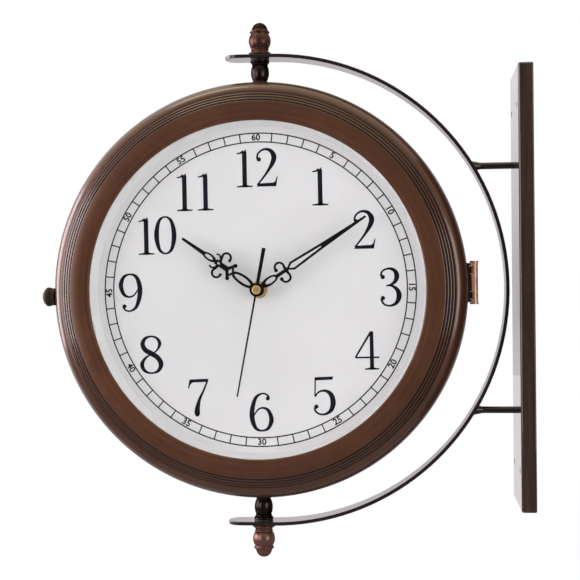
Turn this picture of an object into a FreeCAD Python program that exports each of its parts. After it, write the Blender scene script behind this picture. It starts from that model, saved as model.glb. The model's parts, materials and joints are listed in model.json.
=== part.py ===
import FreeCAD, Part
import math
import os

# Double-sided wall clock. A drum with a dial on each side turns between the ends of a bent strip,
# which stands off a wall plate on two rods. Millimetres, +Z up, wall plane at x = 0.
# Below, x runs towards the wall from the pivot axis, and w is the distance from the case's middle
# plane towards the reader of a dial. The front dial looks along -Y, the rear one along +Y.

# Case drum
case_radius = 175.0          # widest ring of each bezel
drum_step = 3.0              # the drum lies this far inside that ring
drum_half_width = 13.0
drum_wall = 3.0
spigot_reach = 3.0           # ring that enters the bezel
spigot_wall = 2.0
spigot_gap = 0.8
door_gap = 0.3               # between the closed door and the drum

# Bezel moulding
bezel_wall = 2.6
bead_plane = 20.5            # the widest ring's distance from the middle plane
bead_big = 26.0              # the outer bead is two arcs
bead_small = 8.0
bead_turn = 35.0             # where the arcs meet, in degrees
bead_end = 90.0
ridge_count = 3              # small ridges between bead and band
ridge_width = 2.4
ridge_rise = 1.1
band_edge = 1.8              # band's edge above the last ridge
band_width = 16.5
band_crown = 0.5
band_round = 1.2

# Stack behind each opening, from the middle plane outwards
middle_gap = 0.6
setting_knob_height = 1.4
setting_knob_lift = 0.1
movement_depth = 15.8
board_thick = 2.0
dial_thick = 0.4
ring_depth = 21.7
lens_thick = 2.0
lip_thick = 2.0
lens_overlap = 3.8           # lens beyond the opening
lens_play = 0.2
ring_taper = 1.7             # the ring narrows by this towards the dial
pocket_depth = 6.0           # rib round the lens
pocket_wall = 2.0
boss_radius = 3.4
boss_gap = 0.6
boss_sink = 0.6              # boss into the band
boss_count = 6
board_margin = 5.5
screw_radius = 1.0
screw_head_radius = 2.8
screw_head_height = 1.6
screw_bite = 8.0
screw_tip_gap = 1.0

# Fits
run_gap = 0.05               # radial, turning
fit_gap = 0.02               # radial, fixed

# Pivot at the top and bottom of the case
stud_radius = 4.0
stud_in_finial = 15.5
stud_tail = 7.5              # past the drum, for the nut
washer_radius = 8.0
washer_thick = 0.8
bearing_gap = 0.2
nut_flats = 13.0
nut_height = 6.5
nut_gap = 0.4
collar_radius = 8.15         # spacer, depths from its top
collar_height = 2.0
collar_round = 0.55
groove_radius = 6.4
groove_depth = 2.5
ring_depth_end = 3.7
ring_rise = 0.7
baluster_radius = 7.8
baluster_depth = 9.4
neck_radius = 6.05
neck_depth = 17.3
foot_radius = 8.0
foot_depth = 21.0
foot_hollow = 0.45
finial_base_radius = 9.65    # finial, heights from its base
finial_base_height = 1.9
finial_base_round = 0.5
finial_cove_hollow = 0.6
finial_waist_radius = 7.2
finial_waist_low = 4.4
finial_waist_high = 5.7
finial_waist_rise = 0.6
finial_bulb_radius = 9.45
finial_bulb_height = 11.7
finial_neck_radius = 7.55
finial_neck_height = 18.0
finial_brim_radius = 8.5
finial_brim_low = 19.2
finial_brim_high = 20.0
finial_brim_hollow = 0.25
finial_crown_radius = 6.8
finial_crown_height = 22.0
finial_height = 27.8

# Bracket
hoop_gap = 22.6              # bezel ring to strip
hoop_shift = 9.0             # arc centre, from the pivot axis
hoop_tail = 30.0             # straight ends, past the pivot axis
strip_width = 25.0
strip_thick = 3.0
strip_tip = 1.0              # flat left at the rounded ends
strip_edge = 0.6             # rounding of the long edges
plate_gap = 5.9              # strip to wall plate
plate_depth = 12.5
plate_width = 82.0
plate_height = 366.0
plate_sheet = 2.0
plate_round = 2.0
plate_back_round = 1.2
screw_hole_radius = 2.75
screw_sleeve_radius = 6.0
screw_pitch_y = 56.0
screw_pitch_z = 300.0
rod_radius = 2.9
rod_height = 103.0
rod_flare_radius = 5.2
rod_flare_length = 6.0
rod_end = 1.0
rod_nut_flats = 10.0
rod_nut_height = 4.5

# Hinge and latch
hinge_out = 5.2              # axis beyond the widest ring
hinge_height = 4.5
knuckle_radius = 3.2
pin_radius = 1.5
pin_head_radius = 3.6
pin_head_height = 1.6
door_finger = 2.4            # knuckles at the ends, on the door
case_finger = 6.2
middle_finger = 14.8         # on the door
knuckle_gap = 0.15
leaf_thick = 1.6
leaf_length = 14.0
rivet_radius = 1.6
rivet_height = 0.7
latch_height = -4.5
knob_length = 11.2
knob_gap = 0.4
knob_radius = 8.1
knob_neck_radius = 7.4
knob_neck_length = 3.2
knob_flare = 1.5
knob_dome = 4.2
spindle_radius = 2.0
spindle_in_knob = 6.0
hook_depth = 11.0            # hook plane, inside the widest ring
hook_thick = 2.0
hook_hub_radius = 4.5
hook_arm_width = 4.0
hook_arm_angle = 30.0
hook_lip_angle = 22.5
hook_root_angle = 45.0
hook_width = 2.2
hook_gap = 0.5
keeper_reach = 15.0          # spindle to keeper pin
keeper_pin_radius = 1.5
keeper_thick = 2.0
keeper_behind = 3.5          # plate behind and before the pin
keeper_before = 2.1
keeper_length = 12.0

# Movement
movement_half_width = 28.0
movement_top = 24.0
movement_wall = 1.2
bay_height = 15.4
battery_radius = 7.2
battery_length = 49.2
battery_nub_radius = 2.7
battery_nub_length = 1.3
contact_thick = 0.4
contact_size = 10.0
corner_post_radius = 2.0
bush_radius = 4.0
bush_reach = 9.1
shaft_nut_radius = 6.7
shaft_nut_height = 3.0
shaft_nut_chamfer = 0.6
shaft_washer_radius = 7.2
shaft_washer_thick = 0.6
hour_pipe_radius = 2.8
minute_pipe_radius = 2.0
second_pin_radius = 1.0
wheel_thick = 1.4
wheel_gap = 0.5
pinion_teeth = 12
intermediate_teeth = 36
hour_teeth = 48
setting_teeth = 18
motion_module = 0.5
hour_module = 0.4
tooth_tip = 0.5              # tooth sizes in modules
tooth_pitch = 1.3
tooth_root = 2.0
tooth_rise = 0.85
tooth_drop = 1.2
intermediate_post_radius = 0.8
setting_stem_radius = 1.6
setting_knob_radius = 5.5
drive_wheel_radius = 8.0
second_wheel_radius = 8.5
second_wheel_thick = 0.7
circuit_width = 12.0
circuit_height = 30.0
circuit_thick = 1.0
circuit_lift = 3.0
coil_radius = 3.6
coil_length = 16.0

# Hands, drawn upright, at ten past ten
hour_angle = 304.7           # clockwise from 12, in degrees
minute_angle = 56.6
second_angle = 190.7
hand_thick = 0.8
hand_hub_radius = 5.7
hour_plane = 31.4            # back of each hand
minute_plane = 34.6
second_plane = 37.2
second_thick = 0.7
hub_depth = 1.4
cap_radius = 3.7
cap_height = 2.0
cap_round = 0.7
cap_dimple_radius = 2.3
cap_dimple_depth = 0.25
hour_length = 76.7
minute_length = 109.0
second_length = 90.4
second_tail = 35.3
needle_root_half = 0.78
needle_tip_half = 0.62
tail_root_half = 1.3
tail_end_half = 1.55
limb_width = 1.85            # curls of the hour and minute hands
curl_first = 95.0            # where a curl starts and ends, in degrees
curl_last = -100.0

# Hour hand: x across it, z along it from the pivot
hour_oval_z = 14.6
hour_oval_half_x = 4.2
hour_oval_half_z = 11.2
hour_window_z = 15.0
hour_window_half_x = 2.1
hour_window_half_z = 7.9
brace_root_z = 24.8
brace_end_x = 4.3
brace_end_z = 27.4
brace_half = 0.85
arm_root_z = 30.9
arm_end_x = 6.2
arm_end_z = 26.4
arm_root_half = 1.5
arm_end_half = 1.15
arm_ball_radius = 1.7
hour_stalk_low = 30.0
hour_stalk_high = 42.5
hour_stalk_half = 2.2
hour_curl_root_z = 38.6
hour_curl_root_half = 1.6
hour_curl_x = 7.65
hour_curl_z = 36.5
hour_curl_radius = 3.7
hour_curl_ball = 1.25
pip_z = 39.4                 # small hole between the curls
pip_half_x = 0.8
pip_half_z = 1.3
shoulder_x = 3.9
shoulder_z = 43.0
shoulder_radius = 2.3
shoulder_width = 1.35
shoulder_first = -80.0       # degrees
shoulder_last = 55.0
eye_z = 48.8
eye_half_x = 3.0
eye_half_z = 6.6
eye_hole_z = 49.2
eye_hole_half_x = 1.45
eye_hole_half_z = 3.9
hour_tip_low = 53.4
hour_tip_root_half = 1.75
hour_tip_end_half = 1.05

# Minute hand
minute_oval_z = 12.9
minute_oval_half_x = 3.65
minute_oval_half_z = 8.2
minute_window_z = 13.9
minute_window_half_x = 2.0
minute_window_half_z = 4.8
minute_stalk_low = 18.6
minute_stalk_high = 31.6
minute_stalk_half = 1.45
minute_curl_root_z = 29.4
minute_curl_root_half = 1.3
minute_curl_x = 5.0
minute_curl_z = 26.1
minute_curl_radius = 3.8
minute_curl_ball = 1.55
lance_low = 30.0
lance_wide_z = 35.6
lance_half = 3.9
lance_solid_z = 64.6         # end of the lance's window
lance_solid_half = 2.4
lance_tip_half = 0.85
lance_window_low = 32.7
lance_window_wide_z = 36.2
lance_window_half = 2.0
lance_window_end_half = 0.35

V = FreeCAD.Vector
ORIGIN = V(0, 0, 0)
AXIS_X = V(1, 0, 0)
AXIS_Y = V(0, 1, 0)
AXIS_Z = V(0, 0, 1)
OUTWARD = V(0, -1, 0)


def polar(centre, radius, degrees):
    angle = math.radians(degrees)
    return (centre[0] + radius * math.cos(angle), centre[1] + radius * math.sin(angle))


def bulge(a, b, rise):
    """Middle of the arc from a to b that rises to the right of the line between them."""
    run = (b[0] - a[0], b[1] - a[1])
    span = math.hypot(run[0], run[1])
    return ((a[0] + b[0]) / 2 + rise * run[1] / span, (a[1] + b[1]) / 2 - rise * run[0] / span)


def dome_middle(edge, tip):
    """Middle of the arc from an edge point to a tip on the axis, about a centre on the axis."""
    rise = abs(tip[1] - edge[1])
    radius = (edge[0] ** 2 + rise ** 2) / (2 * rise)
    half = math.atan2(edge[0], radius - rise) / 2
    drop = math.copysign(radius * (1 - math.cos(half)), tip[1] - edge[1])
    return (radius * math.sin(half), tip[1] - drop)


def from_axis(r, w):
    """Section plane of what is turned about the dial's axis."""
    return V(r, -w, 0)


def upright(r, z):
    """Section plane of what is turned about the pivot axis."""
    return V(r, 0, z)


def facing(x, z):
    """Plane of the dials and of the hoop's outline."""
    return V(x, 0, z)


def section(place, start, *steps):
    """Closed face. A step of one point is a line to it, a step of two an arc by way of the first."""
    edges = []
    here = start
    for step in steps + ((start,),):
        if len(step) == 2:
            edges.append(Part.Arc(place(*here), place(*step[0]), place(*step[1])).toShape())
        elif step[0] != here:
            edges.append(Part.LineSegment(place(*here), place(*step[0])).toShape())
        here = step[-1]
    return Part.Face(Part.Wire(edges))


def polygon(place, points):
    corners = [place(*point) for point in points]
    return Part.Face(Part.makePolygon(corners + corners[:1]))


def turned(face, axis):
    solid = face.revolve(ORIGIN, axis, 360)
    if solid.Volume < 0:
        solid.reverse()
    return solid


def disc(radius, w0, w1, x=0.0, z=0.0):
    return Part.makeCylinder(radius, w1 - w0, V(x, -w0, z), OUTWARD)


def block(x0, x1, w0, w1, z0, z1):
    return Part.makeBox(x1 - x0, w1 - w0, z1 - z0, V(x0, -w1, z0))


def stem(radius, z0, z1, x=0.0, w=0.0):
    return Part.makeCylinder(radius, z1 - z0, V(x, -w, z0), AXIS_Z)


def bar_x(radius, x0, x1, w=0.0, z=0.0):
    return Part.makeCylinder(radius, x1 - x0, V(x0, -w, z), AXIS_X)


def joined(*shapes):
    return shapes[0].multiFuse(list(shapes[1:])).removeSplitter()


def prism(face, w0, w1):
    """A face in the dial's plane, as a solid from w0 to w1."""
    solid = face.extrude(OUTWARD * (w1 - w0))
    solid.translate(OUTWARD * w0)
    return solid


def hexagon(flats, place):
    return polygon(place, [polar((0, 0), flats / math.sqrt(3), 60 * k) for k in range(6)])


def half_turn(shape):
    """The same piece on the other side of the clock."""
    return shape.copy().rotate(ORIGIN, AXIS_Z, 180)


def upside_down(shape):
    return shape.copy().rotate(ORIGIN, AXIS_X, 180)


def save(node, *shapes):
    """One file per node, moved so that the wall plane is x = 0."""
    shape = shapes[0] if len(shapes) == 1 else Part.makeCompound(list(shapes))
    shape = shape.copy()
    shape.translate(V(-wall_reach, 0, 0))
    shape.exportStep("parts/" + node + ".step")


# Radii and planes that follow from the sizes above
drum_radius = case_radius - drum_step
drum_inside = drum_radius - drum_wall
big_centre = (case_radius - bead_big, bead_plane)
small_centre = polar(big_centre, bead_big - bead_small, bead_turn)
bead_foot = polar(small_centre, bead_small, bead_end)
movement_back = middle_gap + setting_knob_height + setting_knob_lift
board_back = movement_back + movement_depth
dial_back = board_back + board_thick
ring_back = dial_back + dial_thick
lens_back = ring_back + ring_depth
lens_front = lens_back + lens_thick
lip_front = lens_front + lip_thick
band_foot = (bead_foot[0] - ridge_count * ridge_width, lip_front - band_edge)
opening_radius = band_foot[0] - band_width
lens_radius = opening_radius + lens_overlap
pocket_radius = lens_radius + lens_play
boss_circle = pocket_radius + pocket_wall + boss_gap + boss_radius
board_radius = boss_circle + board_margin
hoop_inside = case_radius + hoop_gap
hoop_outside = hoop_inside + strip_thick
plate_face = hoop_shift + hoop_outside + plate_gap
wall_reach = plate_face + plate_depth
hinge_x = case_radius + hinge_out
hinge_half = middle_finger / 2 + case_finger + door_finger + 2 * knuckle_gap
hinge_low = hinge_height - hinge_half
hinge_high = hinge_height + hinge_half


def under_arc(edge):
    """Centre, radius and lowest angle of the arc from the bezel's edge up to its widest ring."""
    rise = bead_plane - edge
    radius = (drum_step ** 2 + rise ** 2) / (2 * drum_step)
    return (case_radius - radius, bead_plane), radius, -math.degrees(math.asin(rise / radius))


def on_boss_circle():
    """Middles of the bosses that hold a dial board, clear of the hinge and latch."""
    return [polar((0, 0), boss_circle, 360 * (k + 0.5) / boss_count) for k in range(boss_count)]


def ridge_foot(k):
    """Foot of a ridge: the first meets the bead, the last the band."""
    share = k / ridge_count
    return tuple(a + share * (b - a) for a, b in zip(bead_foot, band_foot))


def ridges():
    """Arcs of the small ridges, from the bead inwards."""
    feet = [ridge_foot(k) for k in range(ridge_count + 1)]
    return [(bulge(a, b, ridge_rise), b) for a, b in zip(feet, feet[1:])]


def bezel(edge):
    """Moulded ring round a dial, from its edge at the drum to the lip over the lens."""
    centre, radius, lowest = under_arc(edge)
    inside = lip_front - bezel_wall
    rib = pocket_radius + pocket_wall
    edge_centre = (band_foot[0] - band_round, lip_front - band_round)
    lip_centre = (opening_radius + band_round, lip_front - band_round)
    band_start = (edge_centre[0], lip_front)
    band_finish = (lip_centre[0], lip_front)
    bead_middle = (bead_turn + bead_end) / 2
    small_inside = bead_small - bezel_wall
    big_inside = bead_big - bezel_wall
    ring = turned(section(
        from_axis,
        (drum_radius, edge),
        (polar(centre, radius, lowest / 2), (case_radius, bead_plane)),
        (polar(big_centre, bead_big, bead_turn / 2), polar(big_centre, bead_big, bead_turn)),
        (polar(small_centre, bead_small, bead_middle), bead_foot),
        *ridges(),
        ((band_foot[0], edge_centre[1]),),
        (polar(edge_centre, band_round, 45), band_start),
        (bulge(band_start, band_finish, band_crown), band_finish),
        (polar(lip_centre, band_round, 135), (opening_radius, lip_centre[1])),
        ((opening_radius, lens_front),),
        ((pocket_radius, lens_front),),
        ((pocket_radius, lens_front - pocket_depth),),
        ((rib, lens_front - pocket_depth),),
        ((rib, inside),),
        ((band_foot[0] - bezel_wall / 2, inside),),
        (polar(small_centre, small_inside, bead_end),),
        (polar(small_centre, small_inside, bead_middle), polar(small_centre, small_inside, bead_turn)),
        (polar(big_centre, big_inside, bead_turn / 2), polar(big_centre, big_inside, 0)),
        ((drum_radius - bezel_wall, edge),),
    ), AXIS_Y)
    places = on_boss_circle()
    bosses = [disc(boss_radius, dial_back, inside + boss_sink, x, z) for x, z in places]
    pilots = [disc(screw_radius + fit_gap, dial_back, dial_back + screw_bite, x, z) for x, z in places]
    return joined(ring, *bosses).cut(Part.makeCompound(pilots))


def drum():
    """Band between the bezels, with a spigot for each and a hole for each pivot stud."""
    spigot = drum_radius - bezel_wall - spigot_gap
    thin = spigot - spigot_wall
    half = [
        (drum_radius, drum_half_width),
        (spigot, drum_half_width),
        (spigot, drum_half_width + spigot_reach),
        (thin, drum_half_width + spigot_reach),
        (thin, drum_half_width - spigot_reach),
        (drum_inside, drum_half_width - spigot_reach - spigot_wall),
    ]
    other_half = [(r, -w) for r, w in reversed(half)]
    band = turned(polygon(from_axis, half + other_half), AXIS_Y)
    return band.cut(stem(stud_radius + fit_gap, -case_radius, case_radius))


def lens():
    return disc(lens_radius, lens_back, lens_front)


def dial_ring():
    """White wall between lens and dial."""
    outline = [
        (lens_radius, ring_back),
        (lens_radius, lens_back),
        (opening_radius, lens_back),
        (opening_radius - ring_taper, ring_back),
    ]
    return turned(polygon(from_axis, outline), AXIS_Y)


def dial():
    return disc(lens_radius, dial_back, ring_back).cut(disc(bush_radius + fit_gap, dial_back, ring_back))


def dial_board():
    holes = [disc(screw_radius + fit_gap, board_back, dial_back, x, z) for x, z in on_boss_circle()]
    holes.append(disc(bush_radius + fit_gap, board_back, dial_back))
    return disc(board_radius, board_back, dial_back).cut(Part.makeCompound(holes))


def board_screws():
    """Pan-head screws through the board into the bosses."""
    screws = []
    for x, z in on_boss_circle():
        head = disc(screw_head_radius, board_back - screw_head_height, board_back, x, z)
        shank = disc(screw_radius, board_back, dial_back + screw_bite - screw_tip_gap, x, z)
        screws.append(joined(head, shank))
    return screws


# Pivot pieces at the top; the bottom ones are the same, upside down
spacer_top = hoop_inside - bearing_gap - washer_thick
finial_base = hoop_outside + bearing_gap + washer_thick


def pivot_stud():
    return stem(stud_radius, drum_inside - stud_tail, finial_base + stud_in_finial)


def pivot_spacer():
    """Turned baluster between the drum and the strip, seated on the round of the drum."""
    bore = stud_radius + fit_gap
    top = spacer_top
    collar_top = (collar_radius - collar_round, top)
    collar_low = (collar_radius - collar_round, top - collar_height)
    ring_top = (groove_radius, top - groove_depth)
    ring_low = (groove_radius, top - ring_depth_end)
    neck = (neck_radius, top - neck_depth)
    foot = (foot_radius, top - foot_depth)
    shape = turned(section(
        upright,
        (bore, top),
        (collar_top,),
        (bulge(collar_top, collar_low, -collar_round), collar_low),
        (ring_top,),
        (bulge(ring_top, ring_low, -ring_rise), ring_low),
        ((baluster_radius, top - baluster_depth), neck),
        (bulge(neck, foot, foot_hollow), foot),
        ((foot_radius, drum_inside),),
        ((bore, drum_inside),),
    ), AXIS_Z)
    return shape.cut(disc(drum_radius, -case_radius, case_radius))


def finial():
    """Turned cap over the end of the stud."""
    base = finial_base
    bore = stud_radius + fit_gap
    rim = finial_base_radius - finial_base_round
    base_top = (rim, base + finial_base_height)
    waist_low = (finial_waist_radius, base + finial_waist_low)
    waist_high = (finial_waist_radius, base + finial_waist_high)
    neck = (finial_neck_radius, base + finial_neck_height)
    brim_low = (finial_brim_radius, base + finial_brim_low)
    brim_high = (finial_brim_radius, base + finial_brim_high)
    crown = (finial_crown_radius, base + finial_crown_height)
    tip = (0, base + finial_height)
    return turned(section(
        upright,
        (bore, base),
        ((rim, base),),
        (bulge((rim, base), base_top, finial_base_round), base_top),
        (bulge(base_top, waist_low, -finial_cove_hollow), waist_low),
        (bulge(waist_low, waist_high, finial_waist_rise), waist_high),
        ((finial_bulb_radius, base + finial_bulb_height), neck),
        (bulge(neck, brim_low, -finial_brim_hollow), brim_low),
        (brim_high,),
        (bulge(brim_high, crown, -finial_brim_hollow), crown),
        (dome_middle(crown, tip), tip),
        ((0, base + stud_in_finial),),
        ((bore, base + stud_in_finial),),
    ), AXIS_Z)


def pivot_washers():
    pair = []
    for low in (spacer_top, hoop_outside + bearing_gap):
        ring = stem(washer_radius, low, low + washer_thick)
        pair.append(ring.cut(stem(stud_radius + fit_gap, low, low + washer_thick)))
    return pair


def stud_nut():
    top = drum_inside - nut_gap
    nut = hexagon(nut_flats, lambda x, y: V(x, y, top - nut_height)).extrude(AXIS_Z * nut_height)
    return nut.cut(stem(stud_radius + fit_gap, top - nut_height, top))


# Bracket
def at_strip_end(box):
    """Whether an edge stands through the strip's thickness at one of its ends."""
    return box.XMax < -hoop_tail + strip_tip / 2 and box.ZLength > strip_thick / 2


def hoop_strip():
    """Flat bar bent round the wall side of the case, with a bearing hole near each end."""
    end = -hoop_tail
    outline = section(
        facing,
        (end, hoop_outside),
        ((hoop_shift, hoop_outside),),
        ((hoop_shift + hoop_outside, 0), (hoop_shift, -hoop_outside)),
        ((end, -hoop_outside),),
        ((end, -hoop_inside),),
        ((hoop_shift, -hoop_inside),),
        ((hoop_shift + hoop_inside, 0), (hoop_shift, hoop_inside)),
        ((end, hoop_inside),),
    )
    half = strip_width / 2
    bar = prism(outline, -half, half)
    corners = [edge for edge in bar.Edges if at_strip_end(edge.BoundBox)]
    bar = bar.makeFillet(half - strip_tip / 2, corners)
    boxes = [(edge, edge.BoundBox) for edge in bar.Edges]
    long_edges = [edge for edge, box in boxes if box.XLength + box.YLength > strip_tip / 2]
    bar = bar.makeFillet(strip_edge, long_edges)
    return bar.cut(stem(stud_radius + run_gap, -hoop_outside, hoop_outside))


def standoff_rod():
    """Round rod with a weld flare on the strip and a threaded end in the wall plate."""
    reach = math.sqrt(hoop_outside ** 2 - rod_height ** 2)
    weld = hoop_shift + reach
    start = weld - rod_flare_radius
    finish = plate_face + plate_sheet + rod_nut_height + rod_end
    rod = bar_x(rod_radius, start, finish, 0, rod_height)
    flare = Part.makeCone(
        rod_flare_radius, rod_radius, rod_flare_radius + rod_flare_length, V(start, 0, rod_height), AXIS_X)
    hoop_round = disc(hoop_outside, -strip_width, strip_width, hoop_shift)
    return joined(rod, flare).cut(hoop_round)


def rod_nut():
    start = plate_face + plate_sheet
    nut = hexagon(rod_nut_flats, lambda y, z: V(start, y, z + rod_height)).extrude(AXIS_X * rod_nut_height)
    return nut.cut(bar_x(rod_radius + fit_gap, start, start + rod_nut_height, 0, rod_height))


def wall_plate():
    """Folded sheet tray, open to the wall, with a sleeve for each wall screw and a hole for each rod."""
    half_y = plate_width / 2
    half_z = plate_height / 2
    tray = block(plate_face, wall_reach, -half_y, half_y, -half_z, half_z)
    front = [edge for edge in tray.Edges if edge.BoundBox.XMin < wall_reach - plate_sheet]
    tray = tray.makeFillet(plate_round, front)
    back = [edge for edge in tray.Edges if edge.BoundBox.XMin > wall_reach - plate_sheet]
    tray = tray.makeFillet(plate_back_round, back)
    hollow = block(
        plate_face + plate_sheet, wall_reach,
        plate_sheet - half_y, half_y - plate_sheet, plate_sheet - half_z, half_z - plate_sheet)
    tray = tray.cut(hollow)
    corners = ((-1, -1), (-1, 1), (1, -1), (1, 1))
    places = [(a * screw_pitch_y / 2, b * screw_pitch_z / 2) for a, b in corners]
    inside = plate_face + plate_sheet / 2
    sleeves = [bar_x(screw_sleeve_radius, inside, wall_reach, y, z) for y, z in places]
    holes = [bar_x(screw_hole_radius, plate_face, wall_reach, y, z) for y, z in places]
    for side in (-1, 1):
        holes.append(bar_x(rod_radius + fit_gap, plate_face, wall_reach, 0, side * rod_height))
    return joined(tray, *sleeves).cut(Part.makeCompound(holes))


# Hinge on the wall side of the case, latch opposite
def knuckle(z0, z1):
    return stem(knuckle_radius, z0, z1, hinge_x, drum_half_width)


def hinge_bore():
    return stem(pin_radius + run_gap, hinge_low, hinge_high, hinge_x, drum_half_width)


def hinge_window():
    return block(0, 2 * case_radius, -case_radius, case_radius, hinge_low, hinge_high)


def case_fingers():
    """Bottom and top of each knuckle on the case."""
    near = middle_finger / 2 + knuckle_gap
    far = near + case_finger
    return [(hinge_height - far, hinge_height - near), (hinge_height + near, hinge_height + far)]


def door_fingers():
    """Bottom and top of each knuckle on the door."""
    half = middle_finger / 2
    return [
        (hinge_low, hinge_low + door_finger),
        (hinge_height - half, hinge_height + half),
        (hinge_high - door_finger, hinge_high),
    ]


def rivet_places():
    """Middles of the rivets, level with the case's knuckles."""
    return [(low + high) / 2 for low, high in case_fingers()]


def case_hinge_leaf():
    """Leaf on the drum with two knuckles."""
    front = drum_half_width - door_gap
    outline = [
        (drum_radius, front - leaf_length),
        (drum_radius, front),
        (drum_radius + leaf_thick, front),
        (drum_radius + leaf_thick, front - leaf_length),
    ]
    pieces = [turned(polygon(from_axis, outline), AXIS_Y).common(hinge_window())]
    web_back = drum_half_width - knuckle_radius
    for z0, z1 in case_fingers():
        pieces.append(block(drum_inside, hinge_x, web_back, web_back + leaf_thick, z0, z1))
        pieces.append(knuckle(z0, z1))
    rivet_top = drum_radius + leaf_thick + rivet_height
    for z in rivet_places():
        pieces.append(bar_x(rivet_radius, drum_inside, rivet_top, leaf_thick, z))
    return joined(*pieces).cut(hinge_bore()).cut(disc(drum_radius, -case_radius, case_radius))


def door_hinge_leaf():
    """Leaf that hugs the front bezel, with the middle knuckle and one at each end."""
    edge = drum_half_width + door_gap
    centre, radius, lowest = under_arc(edge)
    outer = radius + leaf_thick
    outline = section(
        from_axis,
        polar(centre, radius, lowest),
        (polar(centre, radius, lowest / 2), polar(centre, radius, 0)),
        (polar(centre, outer, 0),),
        (polar(centre, outer, lowest / 2), polar(centre, outer, lowest)),
    )
    in_front = block(0, 2 * case_radius, edge, lip_front, hinge_low, hinge_high)
    pieces = [turned(outline, AXIS_Y).common(in_front)]
    web_front = drum_half_width + knuckle_radius
    for z0, z1 in door_fingers():
        pieces.append(block(drum_inside, hinge_x, web_front - leaf_thick, web_front, z0, z1))
        pieces.append(knuckle(z0, z1))
    rivet_plane = (web_front + bead_plane) / 2
    rivet_top = case_radius + leaf_thick + rivet_height / 2
    for z in rivet_places():
        pieces.append(bar_x(rivet_radius, drum_inside, rivet_top, rivet_plane, z))
    filled = section(
        from_axis,
        (0, edge - leaf_thick),
        ((drum_radius, edge - leaf_thick),),
        ((drum_radius, edge),),
        (polar(centre, radius, lowest / 2), polar(centre, radius, 0)),
        ((case_radius, lip_front),),
        ((0, lip_front),),
    )
    return joined(*pieces).cut(hinge_bore()).cut(turned(filled, AXIS_Y))


def hinge_pin():
    low = hinge_low - knuckle_gap
    high = hinge_high + knuckle_gap
    shank = stem(pin_radius, low, high, hinge_x, drum_half_width)
    heads = [
        stem(pin_head_radius, low - pin_head_height, low, hinge_x, drum_half_width),
        stem(pin_head_radius, high, high + pin_head_height, hinge_x, drum_half_width),
    ]
    return joined(shank, *heads)


def at_latch(shape):
    """From the x axis to the latch's own axis."""
    shape.translate(V(0, -bead_plane, latch_height))
    return shape


def latch_knob():
    """Domed knob outside the case, with a bore for the spindle."""
    start = -(case_radius + knob_gap)
    neck = start - knob_neck_length
    face = start - knob_length
    rim = face + knob_dome
    bore = spindle_radius + fit_gap
    outline = section(
        lambda r, x: V(x, 0, r),
        (bore, start),
        ((knob_neck_radius, start),),
        ((knob_neck_radius, neck),),
        ((knob_radius, neck - knob_flare),),
        ((knob_radius, rim),),
        (dome_middle((knob_radius, rim), (0, face)), (0, face)),
        ((0, start - spindle_in_knob),),
        ((bore, start - spindle_in_knob),),
    )
    return at_latch(turned(outline, AXIS_X))


def hook_point(radius, degrees):
    """Point of the open hook: 0 degrees hangs straight down, positive leans to the front."""
    angle = math.radians(degrees)
    return V(-(case_radius - hook_depth), -radius * math.sin(angle), -radius * math.cos(angle))


def latch_hook():
    """Spindle through the bezel, with a hook that swings up behind the keeper pin."""
    inner = keeper_reach + keeper_pin_radius + hook_gap
    outer = inner + hook_width
    inward = AXIS_X * hook_thick
    reach = hook_arm_angle
    crook = section(
        hook_point,
        (inner, -hook_lip_angle),
        ((inner, 0), (inner, reach)),
        ((outer, reach),),
        ((outer, 0), (outer, -hook_lip_angle)),
    ).extrude(inward)
    side = math.degrees(math.atan2(hook_arm_width / 2, inner))
    arm = polygon(hook_point, [
        (hook_hub_radius / 2, reach - hook_root_angle),
        (inner + hook_width / 2, reach - side),
        (inner + hook_width / 2, reach + side),
        (hook_hub_radius / 2, reach + hook_root_angle),
    ]).extrude(inward)
    plane = -(case_radius - hook_depth)
    hub = bar_x(hook_hub_radius, plane, plane + hook_thick)
    start = -(case_radius + knob_gap + spindle_in_knob)
    spindle = bar_x(spindle_radius, start, plane + hook_thick)
    return at_latch(joined(spindle, hub, arm, crook))


def latch_keeper():
    """Plate and pin on the inside of the drum."""
    pin_plane = bead_plane - keeper_reach
    plate = block(
        -drum_radius, -(drum_inside - keeper_thick), pin_plane - keeper_behind, pin_plane + keeper_before,
        latch_height - keeper_length / 2, latch_height + keeper_length / 2)
    plate = plate.common(disc(drum_inside, -case_radius, case_radius))
    pin = bar_x(
        keeper_pin_radius, -(drum_inside - keeper_thick / 2), -(case_radius - hook_depth - 2 * hook_thick),
        pin_plane, latch_height)
    return joined(plate, pin)


def latch_hole():
    return at_latch(bar_x(spindle_radius + run_gap, -2 * case_radius, -(case_radius - hook_depth)))


# Movement behind each dial board
movement_low = movement_top - 2 * movement_half_width
bay_low = movement_low + movement_wall
bay_high = bay_low + bay_height
chamber_low = bay_high + movement_wall
chamber_high = movement_top - movement_wall
chamber_half = movement_half_width - movement_wall
chamber_front = board_back - movement_wall
cover_front = movement_back + movement_wall
centre_distance = motion_module * (pinion_teeth + intermediate_teeth) / 2
setting_x = motion_module * (intermediate_teeth + setting_teeth) / 2
setting_z = centre_distance
hour_wheel_front = chamber_front - wheel_gap
hour_wheel_back = hour_wheel_front - wheel_thick
motion_front = hour_wheel_back - 2 * wheel_gap
motion_back = motion_front - wheel_thick
drive_front = motion_back - 2 * wheel_gap - wheel_thick
drive_back = drive_front - wheel_thick
second_wheel_front = drive_back - wheel_gap
battery_z = (bay_low + bay_high) / 2
battery_plane = chamber_front - fit_gap - battery_radius


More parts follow.
